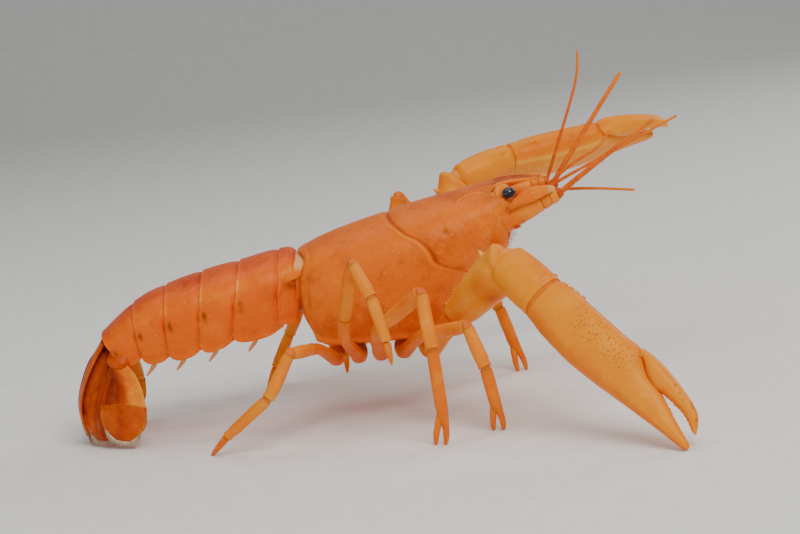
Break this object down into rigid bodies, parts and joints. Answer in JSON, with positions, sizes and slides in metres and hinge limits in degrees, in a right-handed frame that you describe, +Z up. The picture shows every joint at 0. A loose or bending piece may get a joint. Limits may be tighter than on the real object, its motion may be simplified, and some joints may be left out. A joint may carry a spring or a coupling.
{
  "type": "cherax crayfish",
  "caption": "A still, life-size model of an orange freshwater crayfish, standing with one claw lowered to the floor and the other stretched forward.",
  "frame": {"origin": "centre of the bounding box, at the level of the floor that the feet, the lowered claw and the tail fan stand on", "axes": "+X the way the animal faces, +Y its left side, +Z up"},
  "size_m": [0.1133, 0.0902, 0.0592],
  "materials": {
    "carapace": "brown-orange shell plate, satin to glossy, with fine pale specks",
    "tail": "deep orange plates of the abdomen and tail fan, redder along the back",
    "claw": "yellow-orange claw shell with fine dark pits",
    "leg": "light orange shell of the legs and mouth parts, with cream skin at the joints",
    "feeler": "reddish orange ringed feelers",
    "eye": "glossy blue-black eye"
  },
  "bodies": {
    "root": {"head_shell": "carapace", "back_shell": "carapace", "chest": "leg", "abdomen_1": "tail", "abdomen_2": "tail", "abdomen_3": "tail", "abdomen_4": "tail", "abdomen_5": "tail", "abdomen_6": "tail", "telson": "tail", "uropod_inner_R": "tail", "uropod_inner_L": "tail", "uropod_outer_R": "tail", "uropod_outer_L": "tail", "eyestalk_R": "leg", "eyestalk_L": "leg", "eye_R": "eye", "eye_L": "eye", "antenna_base_R": "leg", "antenna_base_L": "leg", "antenna_R": "feeler", "antenna_L": "feeler", "antenna_scale_R": "leg", "antenna_scale_L": "leg", "antennule_base_R": "leg", "antennule_base_L": "leg", "antennule_outer_R": "feeler", "antennule_outer_L": "feeler", "antennule_inner_R": "feeler", "antennule_inner_L": "feeler", "maxilliped_R": "leg", "maxilliped_L": "leg", "claw_arm_R": "claw", "claw_arm_L": "claw", "claw_wrist_R": "claw", "claw_wrist_L": "claw", "claw_palm_R": "claw", "claw_palm_L": "claw", "claw_finger_R": "claw", "claw_finger_L": "claw", "leg2_upper_R": "leg", "leg2_upper_L": "leg", "leg2_lower_R": "leg", "leg2_lower_L": "leg", "leg3_upper_R": "leg", "leg3_upper_L": "leg", "leg3_lower_R": "leg", "leg3_lower_L": "leg", "leg4_upper_R": "leg", "leg4_upper_L": "leg", "leg4_lower_R": "leg", "leg4_lower_L": "leg", "leg5_upper_R": "leg", "leg5_upper_L": "leg", "leg5_lower_R": "leg", "leg5_lower_L": "leg"}
  },
  "joints": []
}
